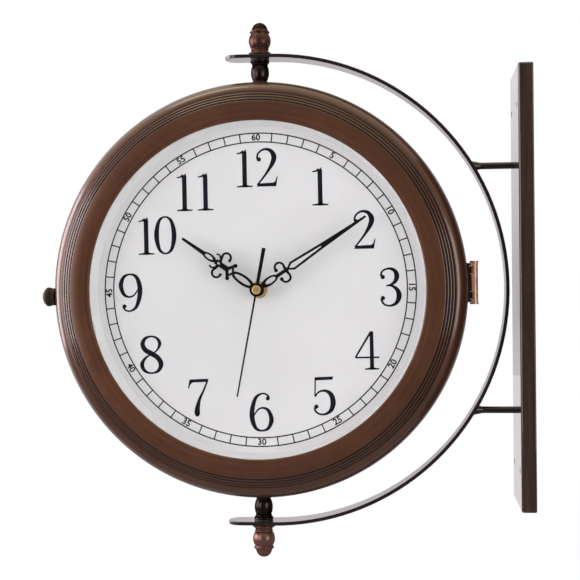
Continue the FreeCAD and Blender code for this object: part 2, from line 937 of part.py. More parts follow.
def movement_case():
    """Housing with a gear chamber, an open battery bay and the threaded bush."""
    outside = block(
        -movement_half_width, movement_half_width, movement_back, board_back, movement_low, movement_top)
    bay = block(-chamber_half, chamber_half, movement_back, chamber_front, bay_low, bay_high)
    chamber = block(-chamber_half, chamber_half, movement_back, chamber_front, chamber_low, chamber_high)
    shell = outside.cut(bay).cut(chamber)
    posts = [disc(bush_radius, chamber_front, board_back + bush_reach)]
    inset = corner_post_radius
    for x in (inset - chamber_half, chamber_half - inset):
        for z in (chamber_low + inset, chamber_high - inset):
            posts.append(disc(corner_post_radius, cover_front, board_back, x, z))
    post_back = motion_back - wheel_gap
    posts.append(disc(intermediate_post_radius, post_back, board_back, 0, centre_distance))
    return joined(shell, *posts).cut(disc(hour_pipe_radius + run_gap, movement_back, lip_front))


def movement_cover():
    """Plate over the gear chamber, with holes for the seconds arbor and the setting stem."""
    play = fit_gap
    plate = block(
        play - chamber_half, chamber_half - play, movement_back, cover_front,
        chamber_low + play, chamber_high - play)
    plate = plate.cut(disc(second_pin_radius + run_gap, movement_back, cover_front))
    return plate.cut(disc(setting_stem_radius + run_gap, movement_back, cover_front, setting_x, setting_z))


def battery():
    """Round cell lying across the bay, its button to the right."""
    half = battery_length / 2
    cell = bar_x(battery_radius, -half, half, battery_plane, battery_z)
    return cell.fuse(bar_x(battery_nub_radius, half, half + battery_nub_length, battery_plane, battery_z))


def battery_contacts():
    """Spring strip at one end of the bay and a plain strip at the other."""
    half = contact_size / 2
    button = battery_length / 2 + battery_nub_length
    strips = []
    for side, touch in ((-1, battery_length / 2), (1, button)):
        wall = block(
            chamber_half - contact_thick, chamber_half,
            battery_plane - half, battery_plane + half, battery_z - half, battery_z + half)
        root = chamber_half - contact_thick / 2
        strip = joined(wall, bar_x(battery_nub_radius, touch, root, battery_plane, battery_z))
        strips.append(strip if side > 0 else strip.mirror(ORIGIN, AXIS_X))
    return strips


def circuit_board():
    """Board with the drive coil and a timing can, on the chamber's left."""
    left = circuit_lift - chamber_half + corner_post_radius
    low = (chamber_low + chamber_high - circuit_height) / 2
    back = cover_front + circuit_lift
    plate = block(left, left + circuit_width, back, back + circuit_thick, low, low + circuit_height)
    middle = left + circuit_width / 2
    face = back + circuit_thick
    pad = block(left, left + circuit_width, face, chamber_front, low, low + circuit_lift)
    coil_low = low + 2 * circuit_lift
    coil = stem(coil_radius, coil_low, coil_low + coil_length, middle, face + coil_radius)
    core_half = coil_radius / 2
    core = block(
        middle - core_half, middle + core_half, face, face + coil_radius + core_half,
        low + circuit_lift, coil_low + coil_length + circuit_lift)
    return joined(plate, pad, core, coil)


def shaft_nut():
    """Brass nut and washer that clamp dial and movement together."""
    bore = bush_radius + fit_gap
    nut_back = ring_back + shaft_washer_thick
    washer = disc(shaft_washer_radius, ring_back, nut_back)
    nut = disc(shaft_nut_radius, nut_back, nut_back + shaft_nut_height)
    rim = [edge for edge in nut.Edges if edge.BoundBox.YMax < -nut_back]
    nut = nut.makeChamfer(shaft_nut_chamfer, rim)
    return joined(washer, nut).cut(disc(bore, ring_back, nut_back + shaft_nut_height))


def gear(teeth, module, w0, w1, x, z, tooth_at):
    """Toothed wheel at x, z with a tooth at the given angle."""
    pitch = module * teeth / 2
    root = pitch - tooth_drop * module
    tip = pitch + tooth_rise * module
    flank = ((root, tooth_root), (pitch, tooth_pitch), (tip, tooth_tip))
    points = []
    for k in range(teeth):
        middle = tooth_at + 360 * k / teeth
        rising = [(r, -math.degrees(t * module / 2 / r)) for r, t in flank]
        falling = [(r, -turn) for r, turn in reversed(rising)]
        for r, turn in rising + falling:
            points.append(polar((x, z), r, middle + turn))
    return prism(polygon(facing, points), w0, w1)


def hour_wheel():
    """Wheel on the pipe that carries the hour hand."""
    tooth_at = 90 + 180 / hour_teeth
    wheel = gear(hour_teeth, hour_module, hour_wheel_back, hour_wheel_front, 0, 0, tooth_at)
    pipe = disc(hour_pipe_radius, hour_wheel_back, hour_plane + hub_depth)
    return joined(wheel, pipe).cut(disc(minute_pipe_radius + run_gap, 0, lip_front))


def minute_wheel():
    """Drive wheel and pinion on the pipe that carries the minute hand."""
    pinion = gear(pinion_teeth, motion_module, motion_back, motion_front, 0, 0, 90)
    wheel = disc(drive_wheel_radius, drive_back, drive_front)
    pipe = disc(minute_pipe_radius, drive_back, minute_plane + hub_depth)
    return joined(pinion, wheel, pipe).cut(disc(second_pin_radius + run_gap, 0, lip_front))


def second_wheel():
    """Seconds wheel on the pin through the middle of both pipes."""
    wheel = disc(second_wheel_radius, second_wheel_front - second_wheel_thick, second_wheel_front)
    return joined(wheel, disc(second_pin_radius, movement_back, second_plane + second_thick))


def intermediate_wheel():
    """Wheel driven by the minute pinion, with the pinion that drives the hour wheel."""
    height = centre_distance
    wheel_tooth = 270 + 180 / intermediate_teeth
    wheel = gear(intermediate_teeth, motion_module, motion_back, motion_front, 0, height, wheel_tooth)
    pinion = gear(pinion_teeth, hour_module, motion_front, hour_wheel_front, 0, height, 270)
    bore = disc(intermediate_post_radius + run_gap, 0, lip_front, 0, height)
    return joined(wheel, pinion).cut(bore)


def setting_knob():
    """Thumb wheel on the movement's back, its stem and the pinion that turns the intermediate wheel."""
    knob_back = movement_back - setting_knob_lift - setting_knob_height
    thumb = disc(setting_knob_radius, knob_back, knob_back + setting_knob_height, setting_x, setting_z)
    shaft = disc(setting_stem_radius, knob_back, hour_wheel_back, setting_x, setting_z)
    pinion = gear(setting_teeth, motion_module, motion_back, motion_front, setting_x, setting_z, 180)
    return joined(thumb, shaft, pinion)


# Hands, each drawn pointing to 12
def stroke(a, b, half_a, half_b):
    """Straight tapering limb from a to b."""
    run = (b[0] - a[0], b[1] - a[1])
    span = math.hypot(run[0], run[1])
    side = (run[1] / span, -run[0] / span)
    return polygon(facing, [
        (a[0] + side[0] * half_a, a[1] + side[1] * half_a),
        (b[0] + side[0] * half_b, b[1] + side[1] * half_b),
        (b[0] - side[0] * half_b, b[1] - side[1] * half_b),
        (a[0] - side[0] * half_a, a[1] - side[1] * half_a),
    ])


def scroll(centre, radius, width, first, last):
    """Curved limb: part of a ring."""
    middle = (first + last) / 2
    outer = radius + width / 2
    inner = radius - width / 2
    return section(
        facing,
        polar(centre, outer, first),
        (polar(centre, outer, middle), polar(centre, outer, last)),
        (polar(centre, inner, last),),
        (polar(centre, inner, middle), polar(centre, inner, first)),
    )


def oval(z, half_x, half_z):
    """Upright ellipse on the hand's middle line."""
    curve = Part.Ellipse(V(0, 0, z + half_z), V(half_x, 0, z), V(0, 0, z))
    return Part.Face(Part.Wire([curve.toShape()]))


def dot(centre, radius):
    return Part.Face(Part.Wire([Part.makeCircle(radius, facing(*centre), OUTWARD)]))


def both_sides(faces):
    return faces + [face.mirror(ORIGIN, AXIS_X) for face in faces]


def hand(solid_faces, holes, back, thick, pipe_radius, angle):
    """Flat hand with a boss on its pipe, turned clockwise from 12 by angle."""
    plate = joined(*[prism(face, back, back + thick) for face in solid_faces])
    if holes:
        plate = plate.cut(Part.makeCompound([prism(face, back, back + thick) for face in holes]))
    plate = joined(plate, disc(hand_hub_radius, back, back + hub_depth))
    plate = plate.cut(disc(pipe_radius + fit_gap, back, back + hub_depth))
    return plate.rotate(ORIGIN, AXIS_Y, angle)


def curl(root, root_half, centre, radius, ball_radius):
    """Limb from the hand's middle line that curls outwards and down to a ball."""
    return [
        stroke(root, (centre[0], centre[1] + radius), root_half, limb_width / 2),
        scroll(centre, radius, limb_width, curl_first, curl_last),
        dot(polar(centre, radius, curl_last), ball_radius),
    ]


def hour_hand():
    """Open oval, a cross with curls, a small eye and a narrow tip."""
    arm_end = (arm_end_x, arm_end_z)
    curl_root = (0, hour_curl_root_z)
    curl_centre = (hour_curl_x, hour_curl_z)
    limbs = both_sides([
        stroke((0, arm_root_z), arm_end, arm_root_half, arm_end_half),
        dot(arm_end, arm_ball_radius),
        stroke((brace_end_x, brace_end_z), (0, brace_root_z), brace_half, brace_half),
        *curl(curl_root, hour_curl_root_half, curl_centre, hour_curl_radius, hour_curl_ball),
        scroll((shoulder_x, shoulder_z), shoulder_radius, shoulder_width, shoulder_first, shoulder_last),
    ])
    middle = [
        oval(hour_oval_z, hour_oval_half_x, hour_oval_half_z),
        stroke((0, hour_stalk_low), (0, hour_stalk_high), hour_stalk_half, hour_stalk_half),
        oval(eye_z, eye_half_x, eye_half_z),
        stroke((0, hour_tip_low), (0, hour_length), hour_tip_root_half, hour_tip_end_half),
    ]
    holes = [
        oval(hour_window_z, hour_window_half_x, hour_window_half_z),
        oval(pip_z, pip_half_x, pip_half_z),
        oval(eye_hole_z, eye_hole_half_x, eye_hole_half_z),
    ]
    return hand(middle + limbs, holes, hour_plane, hand_thick, hour_pipe_radius, hour_angle)


def minute_hand():
    """Open oval, two curls and a long open lance."""
    lance = [
        (0, lance_low),
        (lance_half, lance_wide_z),
        (lance_solid_half, lance_solid_z),
        (lance_tip_half, minute_length),
    ]
    window = [
        (0, lance_window_low),
        (lance_window_half, lance_window_wide_z),
        (lance_window_end_half, lance_solid_z),
    ]
    for outline in (lance, window):
        outline += [(-x, z) for x, z in reversed(outline[1:])]
    middle = [
        oval(minute_oval_z, minute_oval_half_x, minute_oval_half_z),
        stroke((0, minute_stalk_low), (0, minute_stalk_high), minute_stalk_half, minute_stalk_half),
        polygon(facing, lance),
    ]
    curl_root = (0, minute_curl_root_z)
    curl_centre = (minute_curl_x, minute_curl_z)
    limbs = both_sides(
        curl(curl_root, minute_curl_root_half, curl_centre, minute_curl_radius, minute_curl_ball))
    holes = [
        oval(minute_window_z, minute_window_half_x, minute_window_half_z),
        polygon(facing, window),
    ]
    return hand(middle + limbs, holes, minute_plane, hand_thick, minute_pipe_radius, minute_angle)


def second_hand():
    """Thin needle with a bar behind the hub."""
    front = second_plane + second_thick
    needle = stroke((0, 0), (0, second_length), needle_root_half, needle_tip_half)
    tail = stroke((0, 0), (0, -second_tail), tail_root_half, tail_end_half)
    faces = (needle, tail, dot((0, 0), hand_hub_radius))
    plate = joined(*[prism(face, second_plane, front) for face in faces])
    plate = plate.cut(disc(second_pin_radius + fit_gap, second_plane, front))
    return plate.rotate(ORIGIN, AXIS_Y, second_angle)


def hand_cap():
    """Brass button on the second hand's hub."""
    back = second_plane + second_thick
    cap = disc(cap_radius, back, back + cap_height)
    cap = cap.makeFillet(cap_round, [edge for edge in cap.Edges if edge.BoundBox.YMax < -back - cap_round])
    return cap.cut(disc(cap_dimple_radius, back + cap_height - cap_dimple_depth, back + cap_height))


os.makedirs("parts", exist_ok=True)

save("wall_plate", wall_plate())
save("hoop_strip", hoop_strip())
save("standoff_rods", standoff_rod(), upside_down(standoff_rod()))
save("rod_nuts", rod_nut(), upside_down(rod_nut()))

save("case_drum", drum())
save("pivot_studs", pivot_stud(), upside_down(pivot_stud()))
for name, piece in (("spacer", pivot_spacer()), ("finial", finial())):
    save("upper_" + name, piece)
    save("lower_" + name, upside_down(piece))
upper_washers = pivot_washers()
save("pivot_washers", *upper_washers, *[upside_down(washer) for washer in upper_washers])
save("stud_nuts", stud_nut(), upside_down(stud_nut()))
save("case_hinge_leaf", case_hinge_leaf())
save("door_hinge_leaf", door_hinge_leaf())
save("hinge_pin", hinge_pin())
save("latch_knob", latch_knob())
save("latch_hook", latch_hook())
save("latch_keeper", latch_keeper())

save("front_bezel", bezel(drum_half_width + door_gap).cut(latch_hole()))
save("rear_bezel", half_turn(bezel(drum_half_width)))

half_clock = {
    "lens": [lens()],
    "dial_ring": [dial_ring()],
    "dial": [dial()],
    "dial_board": [dial_board()],
    "board_screws": board_screws(),
    "movement_case": [movement_case()],
    "movement_cover": [movement_cover()],
    "battery": [battery()],
    "battery_contacts": battery_contacts(),
    "circuit_board": [circuit_board()],
    "shaft_nut": [shaft_nut()],
    "hour_wheel": [hour_wheel()],
    "minute_wheel": [minute_wheel()],
    "second_wheel": [second_wheel()],
    "intermediate_wheel": [intermediate_wheel()],
    "setting_knob": [setting_knob()],
    "hour_hand": [hour_hand()],
    "minute_hand": [minute_hand()],
    "second_hand": [second_hand()],
    "hand_cap": [hand_cap()],
}
for name, pieces in half_clock.items():
    save("front_" + name, *pieces)
    save("rear_" + name, *[half_turn(piece) for piece in pieces])
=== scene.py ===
import json
import math

import bmesh
import bpy
from mathutils import Matrix, Vector


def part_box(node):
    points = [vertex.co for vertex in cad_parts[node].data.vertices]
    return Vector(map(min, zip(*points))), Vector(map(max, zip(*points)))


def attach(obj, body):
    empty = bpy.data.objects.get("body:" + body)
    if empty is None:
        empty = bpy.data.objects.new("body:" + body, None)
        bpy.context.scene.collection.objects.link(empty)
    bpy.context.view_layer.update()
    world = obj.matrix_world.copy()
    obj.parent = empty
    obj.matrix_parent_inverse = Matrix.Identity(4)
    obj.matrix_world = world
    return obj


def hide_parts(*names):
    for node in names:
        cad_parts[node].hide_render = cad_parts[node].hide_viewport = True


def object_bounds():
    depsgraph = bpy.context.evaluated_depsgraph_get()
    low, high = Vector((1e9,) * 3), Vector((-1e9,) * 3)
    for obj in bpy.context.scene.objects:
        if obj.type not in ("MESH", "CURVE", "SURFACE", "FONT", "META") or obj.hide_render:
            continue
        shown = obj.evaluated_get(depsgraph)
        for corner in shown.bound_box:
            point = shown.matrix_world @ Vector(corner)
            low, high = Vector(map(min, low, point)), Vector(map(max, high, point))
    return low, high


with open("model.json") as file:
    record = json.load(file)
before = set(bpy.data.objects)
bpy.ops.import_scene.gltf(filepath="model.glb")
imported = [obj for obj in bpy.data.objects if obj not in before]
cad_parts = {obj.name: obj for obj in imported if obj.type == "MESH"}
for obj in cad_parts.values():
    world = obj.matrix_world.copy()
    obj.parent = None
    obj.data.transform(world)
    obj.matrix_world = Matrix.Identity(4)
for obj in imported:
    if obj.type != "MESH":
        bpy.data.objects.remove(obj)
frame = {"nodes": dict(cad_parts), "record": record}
cad_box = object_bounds()

record = frame["record"]
joints = {joint["name"]: joint for joint in record["behaviour"]["joints"]}
pivot = Vector(joints["case_swivel"]["pos_m"])   # middle of the case
MM = 0.001

# Camera, fitted to the photo's outlines
camera_place = Vector((-0.0983, -1.0656, -0.0004))
camera_yaw = 5.65                # degrees to the left
camera_roll = 0.5                # degrees clockwise
focal_pixels = 1248.0
frame_pixels = 580.0             # width of the square photo
sensor_mm = 36.0

# Dial print, in millimetres on the dial
print_lift = 0.04
print_turn = -0.7                # degrees clockwise; the dial sits slightly turned in its case
cap_height = 32.1
numeral_weight = 1.32            # thickens the strokes
numeral_places = {               # radius of the numeral's middle, degrees off the hour
    1: (101.2, 1.9),
    2: (102.0, 1.6),
    3: (110.3, 0.0),
    4: (104.4, 0.2),
    5: (104.4, -0.5),
    6: (103.2, -0.2),
    7: (105.0, 0.6),
    8: (107.3, 0.2),
    9: (110.4, -0.1),
    10: (99.7, -1.2),
    11: (99.5, -2.1),
    12: (103.0, -0.4),
}
pair_gaps = {"10": 0.515, "11": 0.56, "12": 0.585}   # between the digits of a pair, in cap heights
track_inner = 124.7
track_outer = 132.1
track_line = 1.05
track_sides = 240
tick_line = 1.0
minute_size = 7.5
minute_weight = 0.2              # thickens the small numbers
minute_steps = 4                 # in each of their curves
curve_steps = 7                  # between two points of a stroke
ball_sides = 28

# Bezel section, in millimetres: radius from the dial's axis, distance from the case's middle plane
drum_radius = 172.0
case_radius = 175.0              # widest ring
bead_plane = 20.5
bead_big = 26.0                  # the bead is two arcs
bead_small = 8.0
bead_turn = 35.0                 # degrees where the second arc starts and ends
bead_end = 90.0
ridge_count = 3
ridge_width = 2.4
ridge_rise = 1.1
band_edge = 1.8
band_width = 16.5
band_crown = 0.5
band_round = 1.2
bezel_wall = 2.6
lip_front = 46.0
lens_front = 44.0
pocket_radius = 144.05           # round the lens
pocket_depth = 6.0
pocket_wall = 2.0
boss_radius = 3.4
boss_circle = 150.05
boss_back = 19.9
boss_count = 6
boss_sides = 32
bezel_edges = {"front": 13.3, "rear": 13.0}
bezel_sides = 360
arc_step = 0.5
sharp_angle = 28.0               # degrees between faces that stay a sharp edge

# Light
world_level = 0.84
surroundings = {                 # what reflections see on each side
    (-1, 0, 0): (1.05, 0.94, 0.97),
    (1, 0, 0): (0.34, 0.25, 0.21),
    (0, -1, 0): (0.05, 0.05, 0.05),
    (0, 1, 0): (1.00, 0.93, 0.97),
    (0, 0, 1): (1.02, 0.96, 0.70),
    (0, 0, -1): (0.22, 0.20, 0.21),
}
horizon_level = 0.65             # the surroundings are darker at eye level
horizon_low = 0.02               # slopes where they start to brighten and are whole
horizon_high = 0.16
lamps = {
    "key": {"place": (-1.60, 0.12, 0.12), "size": 1.1, "watts": 18.0, "colour": (0.97, 0.92, 1.0)},
    "top": {"place": (-0.75, -0.05, 1.45), "size": 0.6, "watts": 3.0, "colour": (1.0, 0.94, 0.78)},
    "front_left": {"place": (-1.55, -1.35, 0.05), "size": 1.0, "watts": 8.1, "colour": (1.0, 1.0, 1.0)},
    "front_right": {"place": (1.10, -1.35, 0.0), "size": 1.0, "watts": 8.2, "colour": (1.0, 1.0, 1.0)},
    "rear": {"place": (-0.40, 1.90, 0.30), "size": 2.0, "watts": 9.0, "colour": (1.0, 1.0, 1.0)},
}
unmirrored_lamps = {"rear"}      # light the object but show in no reflection

# Floor, in metres
floor_drop = 0.12                # below the lower finial
floor_radius = 4.0
floor_sides = 96
floor_colour = (0.86, 0.86, 0.86, 1)
floor_rough = 0.9
shadow_near = 0.3                # the shadow fades out between these distances
shadow_far = 1.1
near_white = 0.85                # share of plain white where the shadow is whole
mirror_far = 0.7                 # mirrored, the floor brightens up to here behind the object
mirror_dark = 0.08
mirror_bright = 0.95

# Marks that the materials follow, in millimetres unless a line says otherwise
groove_depths = [1.0, 0.6, 0.85, 1.0]   # share of patina and painted shade in each groove, from the bead inwards
groove_middle = 0.15             # half widths of a groove's full and of its fading patina and painted shade
groove_edge = 0.95
rim_reach = 4.5                  # the lacquer thins out towards the widest ring
leaf_reach = 178.0               # the hinge is dark up to here from the dial's axis
leaf_blend = 0.4
cap_disc = 2.3                   # radii of the hand cap's middle and edge
cap_edge = 3.7
cap_blend = 0.2
plate_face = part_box("wall_plate")[0].x   # metres
plate_blend = 0.002              # metres
dome_length = 0.008              # metres; end of the upper finial painted dark, as painted shade
dome_blend = 0.0024              # metres
dome_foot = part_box("upper_finial")[1].z - dome_length

# Values that the materials share
# dark bronze for patina, and for painted shade in grooves, corners and on the upper finial's end
bronze_patina_and_shade = (0.012, 0.006, 0.004)
noise_low = 0.3                  # most of a noise lies between these
noise_high = 0.7
grain_depth = 0.0002             # metres
corner_closed = 0.35             # open share of the sky where patina and painted shade are full and where they end
corner_open = 0.85
corner_samples = 8

# Shares of lacquer on the bezel, and of the colours laid over others
band_lacquer = 0.25
moulding_lacquer = 0.8           # on the ridges and the bead
rim_lacquer = 0.1
rubbed_share = 0.4               # patches of the bezel rubbed bright
band_shade = 0.2                 # patina at the band's outer edge
moulding_shade = 0.32            # patina on the ridges and the bead
strip_shade = 0.75               # dark paint on strip and rods
leaf_shade = 0.95                # dark share on the hinge's leaf beside the case
painted_light_share = 0.45                 # painted light: lighter bronze on the lower finial
painted_dome_shade = 0.8                 # painted shade on the upper finial's end, for a dark reflection from above
disc_shade = 0.5                 # darker brass in the cap's middle and on the nut
nut_shade = 0.3


# Bezel section
def polar(centre, radius, degrees):
    angle = math.radians(degrees)
    return (centre[0] + radius * math.cos(angle), centre[1] + radius * math.sin(angle))


def bulge(a, b, rise):
    """Middle of the arc from a to b that rises to the right of the line between them."""
    run = (b[0] - a[0], b[1] - a[1])
    span = math.hypot(*run)
    return ((a[0] + b[0]) / 2 + rise * run[1] / span, (a[1] + b[1]) / 2 - rise * run[0] / span)


big_centre = (case_radius - bead_big, bead_plane)
small_centre = polar(big_centre, bead_big - bead_small, bead_turn)
bead_foot = polar(small_centre, bead_small, bead_end)
band_foot = (bead_foot[0] - ridge_count * ridge_width, lip_front - band_edge)
opening_radius = band_foot[0] - band_width


def ridge_foot(k):
    """Foot of a ridge: the first meets the bead, the last the band."""
    share = k / ridge_count
    return tuple(a + share * (b - a) for a, b in zip(bead_foot, band_foot))


def arc_points(a, middle, b):
    """Points after a, up to b, on the circle through all three."""
    (ax, ay), (mx, my), (bx, by) = a, middle, b
    scale = 2 * (ax * (my - by) + mx * (by - ay) + bx * (ay - my))
    sizes = (ax * ax + ay * ay, mx * mx + my * my, bx * bx + by * by)
    x = (sizes[0] * (my - by) + sizes[1] * (by - ay) + sizes[2] * (ay - my)) / scale
    y = (sizes[0] * (bx - mx) + sizes[1] * (ax - bx) + sizes[2] * (mx - ax)) / scale
    radius = math.hypot(ax - x, ay - y)
    start = math.atan2(ay - y, ax - x)
    half = (math.atan2(my - y, mx - x) - start + math.pi) % (2 * math.pi) - math.pi
    count = max(2, math.ceil(abs(2 * half) * radius / arc_step))
    turns = [start + 2 * half * (k + 1) / count for k in range(count)]
    return [(x + radius * math.cos(turn), y + radius * math.sin(turn)) for turn in turns]


def bezel_section(edge):
    """Closed outline of the moulding, from its edge at the drum over the bead to the lip and back."""
    rise = bead_plane - edge
    under = ((case_radius - drum_radius) ** 2 + rise ** 2) / (2 * (case_radius - drum_radius))
    lowest = -math.degrees(math.asin(rise / under))
    bead_middle = (bead_turn + bead_end) / 2
    edge_centre = (band_foot[0] - band_round, lip_front - band_round)
    lip_centre = (opening_radius + band_round, lip_front - band_round)
    band_start = (edge_centre[0], lip_front)
    band_finish = (lip_centre[0], lip_front)
    inside = lip_front - bezel_wall
    big_inside = bead_big - bezel_wall
    small_inside = bead_small - bezel_wall
    feet = [ridge_foot(k) for k in range(ridge_count + 1)]
    steps = [
        ((drum_radius, edge),),
        (polar((case_radius - under, bead_plane), under, lowest / 2), (case_radius, bead_plane)),
        (polar(big_centre, bead_big, bead_turn / 2), polar(big_centre, bead_big, bead_turn)),
        (polar(small_centre, bead_small, bead_middle), bead_foot),
        *[(bulge(a, b, ridge_rise), b) for a, b in zip(feet, feet[1:])],
        ((band_foot[0], edge_centre[1]),),
        (polar(edge_centre, band_round, 45), band_start),
        (bulge(band_start, band_finish, band_crown), band_finish),
        (polar(lip_centre, band_round, 135), (opening_radius, lip_centre[1])),
        ((opening_radius, lens_front),),
        ((pocket_radius, lens_front),),
        ((pocket_radius, lens_front - pocket_depth),),
        ((pocket_radius + pocket_wall, lens_front - pocket_depth),),
        ((pocket_radius + pocket_wall, inside),),
        ((band_foot[0] - bezel_wall / 2, inside),),
        (polar(small_centre, small_inside, bead_end),),
        (polar(small_centre, small_inside, bead_middle), polar(small_centre, small_inside, bead_turn)),
        (polar(big_centre, big_inside, bead_turn / 2), polar(big_centre, big_inside, 0)),
        ((drum_radius - bezel_wall, edge),),
    ]
    outline = []
    for step in steps:
        outline += arc_points(outline[-1], *step) if len(step) == 2 else [step[0]]
    return outline


# Nodes
def add(tree, kind, settings=None, **inputs):
    """New node; an input is a value or another node's output."""
    node = tree.nodes.new(kind)
    for name, value in (settings or {}).items():
        setattr(node, name, value)
    for name, value in inputs.items():
        connect(tree, value, node.inputs[name.replace("_", " ")])
    return node


def connect(tree, value, socket):
    if isinstance(value, bpy.types.NodeSocket):
        tree.links.new(value, socket)
    else:
        socket.default_value = value


def maths(tree, operation, *values):
    node = add(tree, "ShaderNodeMath", {"operation": operation})
    for value, socket in zip(values, node.inputs):
        connect(tree, value, socket)
    return node.outputs["Value"]


def vector_maths(tree, operation, *values):
    node = add(tree, "ShaderNodeVectorMath", {"operation": operation})
    for value, socket in zip(values, node.inputs):
        connect(tree, value, socket)
    return node


def ramped(tree, value, low, high, to_low=0.0, to_high=1.0):
    """Goes from to_low to to_high while the value goes from low to high."""
    limits = {"From_Min": low, "From_Max": high, "To_Min": to_low, "To_Max": to_high}
    return add(tree, "ShaderNodeMapRange", Value=value, **limits).outputs["Result"]


def blended(tree, share, a, b):
    """Colour a where share is 0, b where it is 1."""
    node = add(tree, "ShaderNodeMix", {"data_type": "RGBA"})
    connect(tree, share, node.inputs["Factor"])
    for colour, socket in ((a, node.inputs[6]), (b, node.inputs[7])):
        connect(tree, colour if isinstance(colour, bpy.types.NodeSocket) else (*colour, 1), socket)
    return node.outputs[2]


def here(tree):
    """Coordinates of the piece at rest, in metres."""
    return add(tree, "ShaderNodeTexCoord").outputs["Object"]


def along(tree, axis):
    """One of those coordinates."""
    return add(tree, "ShaderNodeSeparateXYZ", Vector=here(tree)).outputs[axis]


def place(tree, stretch=(1, 1, 1)):
    """Those coordinates, stretched for streaks."""
    return add(tree, "ShaderNodeMapping", Vector=here(tree), Scale=stretch).outputs["Vector"]


def dial_rings(tree):
    """Distance from the dial's axis, in millimetres."""
    across = maths(tree, "SUBTRACT", along(tree, "X"), pivot.x)
    height = along(tree, "Z")
    squares = [maths(tree, "MULTIPLY", side, side) for side in (across, height)]
    return maths(tree, "MULTIPLY", maths(tree, "SQRT", maths(tree, "ADD", *squares)), 1 / MM)


def noise(tree, where, scale, detail=4.0, rough=0.55):
    node = add(tree, "ShaderNodeTexNoise", Vector=where, Scale=scale, Detail=detail, Roughness=rough)
    return node.outputs["Fac"]


def new_material(name):
    made = bpy.data.materials.new(name)
    made.use_nodes = True
    tree = made.node_tree
    return made, tree, tree.nodes["Principled BSDF"]


def set_shader(tree, shader, **sockets):
    for name, value in sockets.items():
        connect(tree, value, shader.inputs[name.replace("_", " ")])


def set_grain(tree, shader, strength, height):
    bump = add(tree, "ShaderNodeBump", Strength=strength, Distance=grain_depth, Height=height)
    set_shader(tree, shader, Normal=bump.outputs["Normal"])


def mix_surface(tree, share, a, b):
    """Surface a where share is 0, b where it is 1."""
    mix = add(tree, "ShaderNodeMixShader", Fac=share)
    tree.links.new(a, mix.inputs[1])
    tree.links.new(b, mix.inputs[2])
    tree.links.new(mix.outputs["Shader"], tree.nodes["Material Output"].inputs["Surface"])


# Materials
def finish(name, dark, light, scale, rough, stretch=(1, 1, 1), grain=0.0, grain_scale=900.0, **sockets):
    """Surface whose colour and gloss wander between two values, with a fine grain."""
    made, tree, shader = new_material(name)
    wander = ramped(tree, noise(tree, place(tree, stretch), scale), noise_low, noise_high)
    set_shader(tree, shader, Base_Color=blended(tree, wander, dark, light), **sockets)
    speck = noise(tree, place(tree, stretch), grain_scale, 2.0)
    set_shader(tree, shader, Roughness=ramped(tree, speck, noise_low, noise_high, *rough))
    if grain:
        set_grain(tree, shader, grain, speck)
    return made


def overlay(made, share, colour):
    """Blends a colour over the material's own, by a share from 0 to 1."""
    tree = made.node_tree
    shader = tree.nodes["Principled BSDF"]
    under = shader.inputs["Base Color"].links[0].from_socket
    set_shader(tree, shader, Base_Color=blended(tree, share, under, colour))


def aged(made, patina_and_shade, reach, depth=0.8):
    """Adds dark patina and painted shade in the corners and grooves of a finish, where little of the sky is
    open.
    """
    tree = made.node_tree
    sky = add(tree, "ShaderNodeAmbientOcclusion", {"samples": corner_samples}, Distance=reach)
    overlay(made, ramped(tree, sky.outputs["AO"], corner_closed, corner_open, depth, 0.0), patina_and_shade)
    return made


def in_grooves(tree, radius):
    """Share of patina and painted shade on the thin lines between the bezel's ridges, 0 elsewhere."""
    share = 0.0
    for k, depth in enumerate(groove_depths):
        away = maths(tree, "ABSOLUTE", maths(tree, "SUBTRACT", radius, ridge_foot(k)[0]))
        share = maths(tree, "MAXIMUM", share, ramped(tree, away, groove_middle, groove_edge, depth, 0.0))
    return share


def lacquer(tree, radius):
    """Share of clear lacquer on the bezel: thin on the band and at the rim."""
    inner = ramped(tree, radius, band_foot[0] - band_round, band_foot[0], band_lacquer, moulding_lacquer)
    outer = ramped(tree, radius, case_radius - rim_reach, case_radius, moulding_lacquer, rim_lacquer)
    return maths(tree, "MINIMUM", inner, outer)


def bronze_case():
    """Brown metallic paint, brushed round the dial, with dark patina and painted shade in the grooves."""
    made, tree, shader = new_material("case_bronze")
    radius = dial_rings(tree)
    sway = maths(tree, "MULTIPLY", noise(tree, place(tree), scale=7.0, detail=2.0), 2.0)
    rings = add(tree, "ShaderNodeCombineXYZ", X=radius, Y=sway).outputs["Vector"]
    brushed = noise(tree, rings, scale=2.2, detail=3.0, rough=0.6)
    streaks = ramped(tree, brushed, noise_low, noise_high)
    set_shader(
        tree, shader, Base_Color=blended(tree, streaks, (0.088, 0.037, 0.022), (0.156, 0.063, 0.034)),
        Metallic=0.55, Specular_Tint=(0.4, 0.3, 0.26, 1), Coat_Weight=lacquer(tree, radius), Coat_IOR=1.75,
        Coat_Roughness=0.16, Roughness=ramped(tree, brushed, 0.25, 0.75, to_low=0.32, to_high=0.44))
    set_grain(tree, shader, 0.05, brushed)
    cloud = noise(tree, place(tree), scale=30.0, detail=5.0)
    overlay(made, ramped(tree, cloud, 0.42, 0.75, to_high=rubbed_share), (0.20, 0.084, 0.048))
    outwards = ramped(tree, radius, opening_radius + band_width / 3, band_foot[0], to_high=band_shade)
    within = maths(tree, "LESS_THAN", radius, band_foot[0])
    overlay(made, maths(tree, "MULTIPLY", outwards, within), bronze_patina_and_shade)
    beyond = ramped(tree, radius, band_foot[0] - band_round, band_foot[0], to_high=moulding_shade)
    overlay(made, beyond, bronze_patina_and_shade)
    # patina and painted shade on the lines between the ridges
    overlay(made, in_grooves(tree, radius), bronze_patina_and_shade)
    # patina and painted shade where little of the sky is open
    return aged(made, bronze_patina_and_shade, reach=0.004, depth=0.6)


